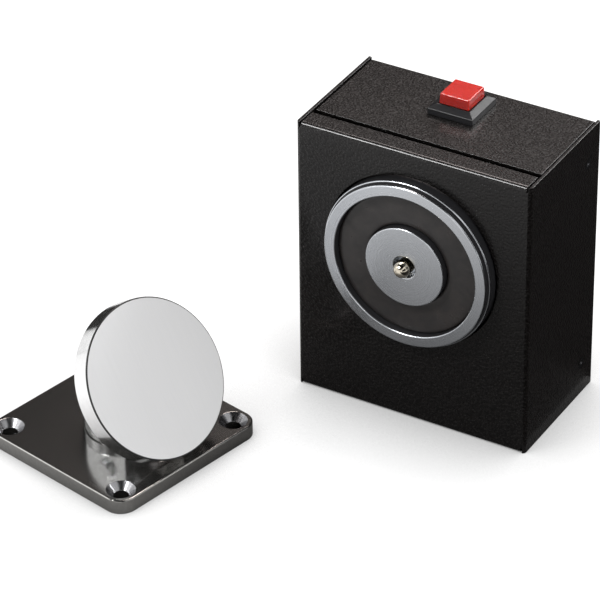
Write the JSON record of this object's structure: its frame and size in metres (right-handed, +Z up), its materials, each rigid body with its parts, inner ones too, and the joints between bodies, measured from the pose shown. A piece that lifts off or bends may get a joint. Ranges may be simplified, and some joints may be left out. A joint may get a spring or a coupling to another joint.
{
  "type": "electromagnetic door holder",
  "caption": "Wall magnet in a folded steel housing with a red release button, and its swivelling armature disc on a square door plate.",
  "frame": {"origin": "middle of the underside of the box round both units, as they stand side by side", "axes": "+Z up, +Y out of the housing's back towards the wall, +X to the housing's right seen from the front"},
  "size_m": [0.1702, 0.1526, 0.1173],
  "materials": {
    "powder_coat": "fine-textured black powder coat",
    "black_screw": "black zinc",
    "pole_steel": "ground and nickel-plated faces, blackened side",
    "coil_plastic": "moulded",
    "copper_wire": "enamelled copper winding",
    "cast_resin": "cast dark resin, satin",
    "nickel": "polished nickel",
    "spring_steel": "drawn wire",
    "zinc_steel": "zinc plated",
    "black_plastic": "moulded, satin gloss",
    "red_plastic": "moulded, gloss",
    "contact_brass": "sheet brass",
    "rubber": "moulded",
    "board_green": "solder mask",
    "block_green": "moulded",
    "diode_black": "moulded",
    "lead_red": "insulation",
    "lead_black": "insulation",
    "gloss_black": "glossy black plating",
    "disc_nickel": "fine-ground nickel face, polished rim"
  },
  "bodies": {
    "holder": {"housing_cover": "powder_coat", "housing_base": "powder_coat", "cover_screws": "black_screw", "magnet_pot": "pole_steel", "coil_bobbin": "coil_plastic", "coil_winding": "copper_wire", "coil_resin": "cast_resin", "ejector_bush": "zinc_steel", "ejector_spring": "spring_steel", "magnet_stud": "zinc_steel", "magnet_spacer": "zinc_steel", "lock_washer": "spring_steel", "switch_housing": "black_plastic", "button_spring": "spring_steel", "switch_floor": "black_plastic", "switch_terminals": "contact_brass", "cable_grommet": "rubber", "circuit_board": "board_green", "board_spacers": "zinc_steel", "board_screws": "zinc_steel", "terminal_block": "block_green", "clamp_screws": "zinc_steel", "suppressor_diode": "diode_black", "coil_leads": "lead_red", "switch_leads": "lead_black", "armature_base": "gloss_black"},
    "button": {"button_cap": "red_plastic", "contact_bridge": "contact_brass"},
    "ejector": {"ejector_pin": "nickel"},
    "fork": {"pivot_fork": "zinc_steel", "pivot_screw": "zinc_steel", "thrust_washer": "contact_brass", "pivot_pin": "zinc_steel", "pivot_clip": "spring_steel"},
    "disc": {"armature_disc": "disc_nickel", "disc_knuckle": "zinc_steel"}
  },
  "joints": [
    {"name": "button_press", "type": "slide", "parent": "holder", "child": "button", "axis": [0, 0, -1], "range_m": [0, 0.002], "stiffness_N_per_m": 800, "springref_m": -0.002, "deforming": ["button_spring"]},
    {"name": "ejector_press", "type": "slide", "parent": "holder", "child": "ejector", "axis": [0, 1, 0], "range_m": [0, 0.0044], "stiffness_N_per_m": 1500, "springref_m": -0.002, "deforming": ["ejector_spring"]},
    {"name": "armature_turn", "type": "hinge", "parent": "holder", "child": "fork", "pos_m": [-0.04469, -0.03584, 0.0056], "axis": [0, 0, 1], "continuous": true},
    {"name": "armature_tilt", "type": "hinge", "parent": "fork", "child": "disc", "pos_m": [-0.04469, -0.03584, 0.02126], "axis": [-0.2497, -0.9683, 0], "range_deg": [0, 112]}
  ]
}
